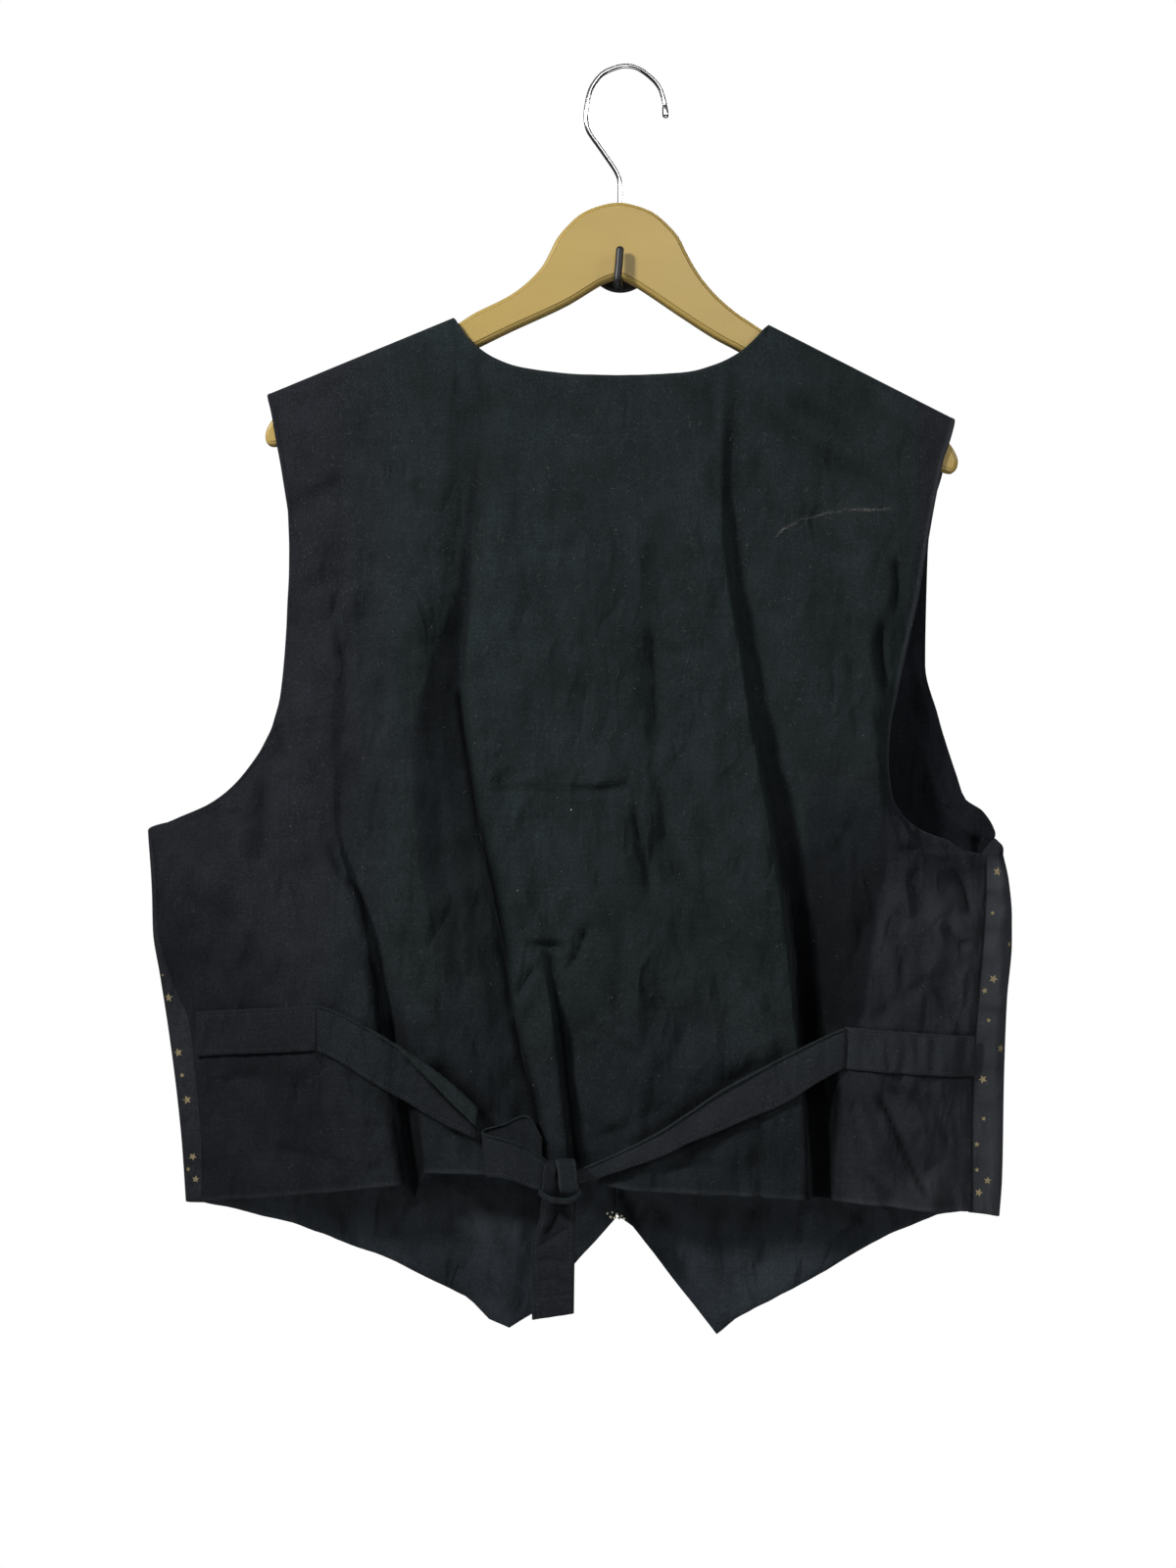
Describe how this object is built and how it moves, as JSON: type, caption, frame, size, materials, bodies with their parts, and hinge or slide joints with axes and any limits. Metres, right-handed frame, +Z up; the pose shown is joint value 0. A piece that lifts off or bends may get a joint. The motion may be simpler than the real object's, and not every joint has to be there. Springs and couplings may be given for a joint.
{
  "type": "suit waistcoat on a flat hanger held by a wall hook",
  "caption": "Sleeveless V-neck waistcoat with pointed hem and a knotted back strap, hanging on a flat hanger that a wall hook carries, its back outwards.",
  "frame": {"origin": "centre of the wall hook plate's rear face, on the wall", "axes": "+Z up, -Y away from the wall towards the viewer and the side the garment's back faces, +X to the viewer's right"},
  "size_m": [0.5596, 0.0819, 0.8242],
  "materials": {
    "back_cloth": "plain black cotton",
    "front_cloth": "navy black suiting with small gold stars",
    "lining_cloth": "plain black lining",
    "strap_cloth": "plain black cotton, doubled",
    "button": "satin black",
    "hanger": "smooth tan lacquer",
    "hook_wire": "polished",
    "wall_hook": "black"
  },
  "bodies": {
    "root": {"back_panel": "back_cloth", "front_left": "front_cloth", "front_right": "front_cloth", "lining_left": "lining_cloth", "lining_right": "lining_cloth", "strap_left_base": "strap_cloth", "strap_left_free": "strap_cloth", "strap_loop": "strap_cloth", "knot_turn_left": "strap_cloth", "knot_turn_right": "strap_cloth", "knot_turn_low": "strap_cloth", "strap_tail": "strap_cloth", "strap_right_free": "strap_cloth", "strap_right_base": "strap_cloth", "hanger_body": "hanger", "hanger_hook": "hook_wire", "wall_hook_plate": "wall_hook", "wall_hook_prong": "wall_hook", "button_1": "button", "button_2": "button", "button_3": "button", "button_4": "button", "button_5": "button"}
  },
  "joints": []
}
